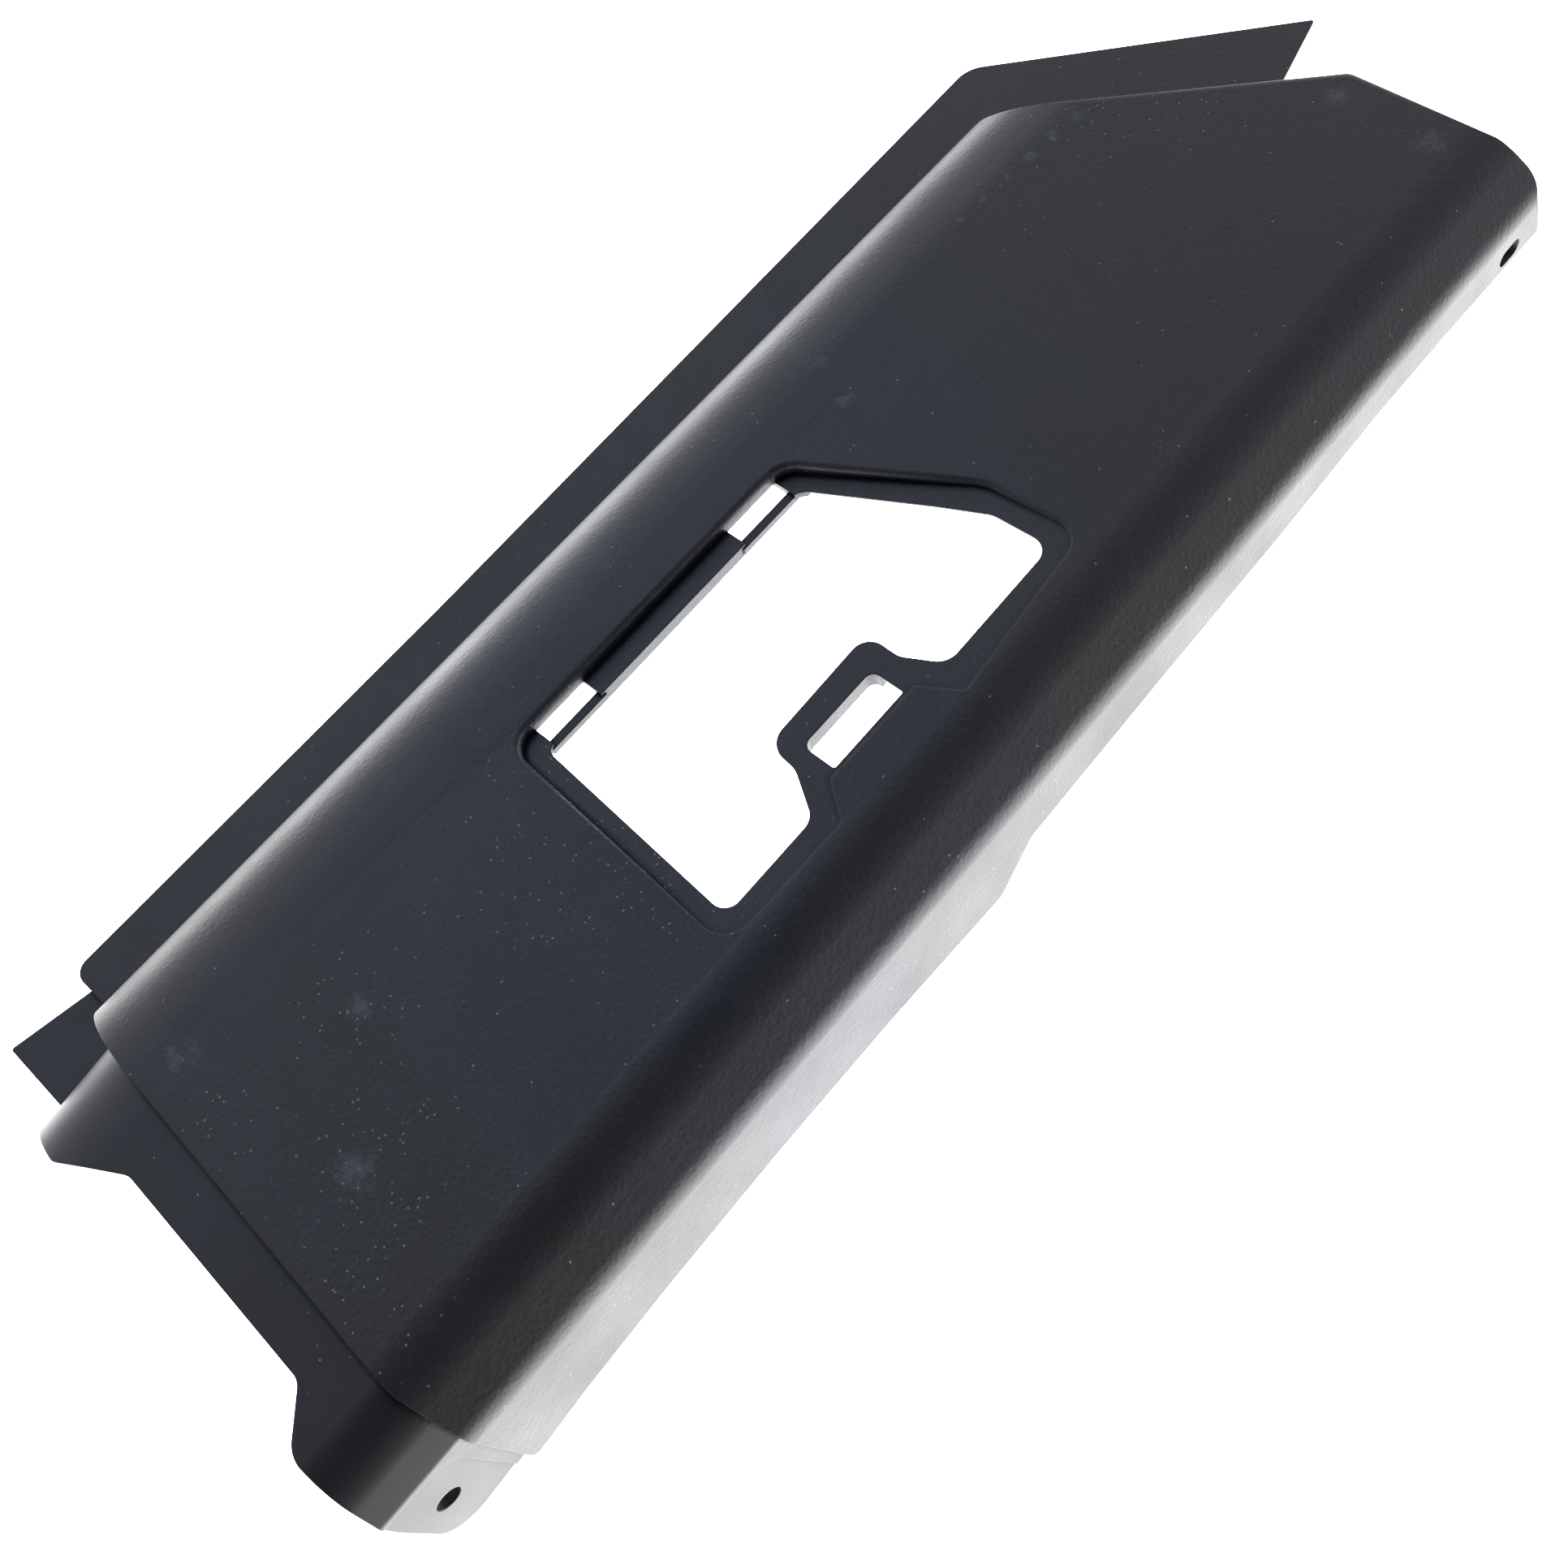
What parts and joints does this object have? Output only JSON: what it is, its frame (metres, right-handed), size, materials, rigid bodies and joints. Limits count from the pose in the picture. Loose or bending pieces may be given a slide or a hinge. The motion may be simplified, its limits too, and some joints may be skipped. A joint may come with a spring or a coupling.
{
  "type": "vehicle kick plate",
  "caption": "Moulded plastic kick plate for a vehicle door sill and side cowl, with an access window, a lapped end, screw tabs and hidden spring clips.",
  "frame": {"origin": "centre of the footprint, at the height of the lowest point, which is the foot of the lap tab", "axes": "+X along the panel from the lapped end to the slanted end, +Y across it towards the rear strip, +Z out of the flat outer face"},
  "size_m": [0.562, 0.2054, 0.0645],
  "materials": {
    "grained_plastic": "dark charcoal polypropylene with a fine leather grain and a soft satin sheen, scuffed and dusty",
    "spring_steel": "zinc-plated spring steel",
    "felt": "black adhesive felt tape"
  },
  "bodies": {
    "root": {"panel_shell": "grained_plastic", "spring_clip_1": "spring_steel", "spring_clip_2": "spring_steel", "spring_clip_3": "spring_steel", "spring_clip_4": "spring_steel", "spring_clip_5": "spring_steel", "antisqueak_tape_long": "felt", "antisqueak_tape_top": "felt"}
  },
  "joints": []
}
